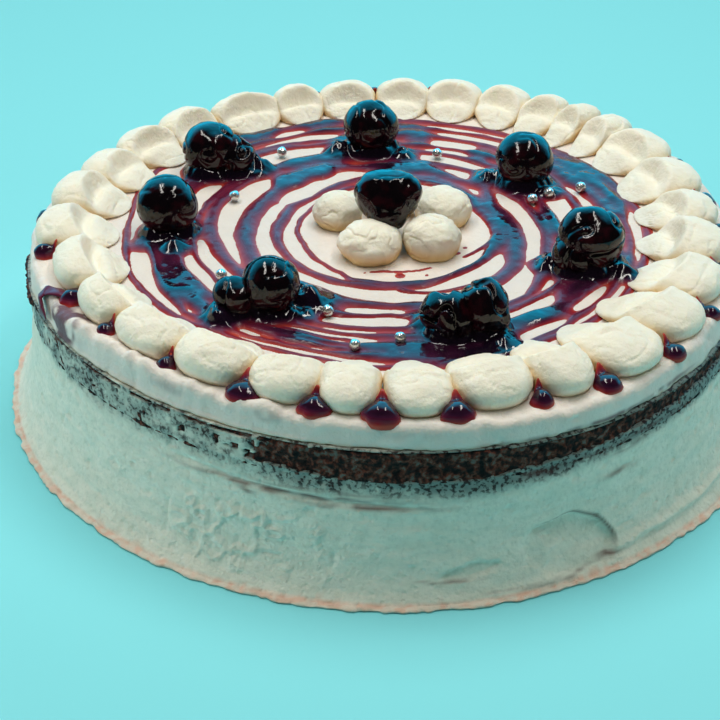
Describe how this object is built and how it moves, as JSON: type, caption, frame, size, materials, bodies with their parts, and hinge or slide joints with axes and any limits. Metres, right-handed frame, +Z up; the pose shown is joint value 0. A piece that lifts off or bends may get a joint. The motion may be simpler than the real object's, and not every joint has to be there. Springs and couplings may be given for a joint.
{
  "type": "white chocolate cherry cake",
  "caption": "Round frosted cake with a dark sponge layer at its side, piped cream dollops round the rim, rings of cherry sauce, whole cherries and silver sugar balls.",
  "frame": {"origin": "middle of the flat underside, where the cake stands", "axes": "+Z up through the middle of the cake, -Y towards the side seen in the picture, +X to its right"},
  "size_m": [0.2888, 0.2897, 0.087],
  "materials": {
    "frosting": "soft matt, smeared",
    "cream": "soft satin, fine pores",
    "sponge": "rough crumb",
    "cherry": "wet gloss",
    "sauce": "wet gloss",
    "silver": "polished silver"
  },
  "bodies": {
    "root": {"cake_base": "frosting", "sponge_layer": "sponge", "cream_top": "cream", "dollop_01": "cream", "dollop_02": "cream", "dollop_03": "cream", "dollop_04": "cream", "dollop_05": "cream", "dollop_06": "cream", "dollop_07": "cream", "dollop_08": "cream", "dollop_09": "cream", "dollop_10": "cream", "dollop_11": "cream", "dollop_12": "cream", "dollop_13": "cream", "dollop_14": "cream", "dollop_15": "cream", "dollop_16": "cream", "dollop_17": "cream", "dollop_18": "cream", "dollop_19": "cream", "dollop_20": "cream", "dollop_21": "cream", "dollop_22": "cream", "dollop_23": "cream", "dollop_24": "cream", "dollop_25": "cream", "dollop_26": "cream", "dollop_27": "cream", "dollop_28": "cream", "dollop_29": "cream", "dollop_30": "cream", "centre_dollop_1": "cream", "centre_dollop_2": "cream", "centre_dollop_3": "cream", "centre_dollop_4": "cream", "centre_dollop_5": "cream", "cherry_1": "cherry", "cherry_2": "cherry", "cherry_3": "cherry", "cherry_4": "cherry", "cherry_5": "cherry", "cherry_6": "cherry", "cherry_7": "cherry", "cherry_centre": "cherry"}
  },
  "joints": []
}
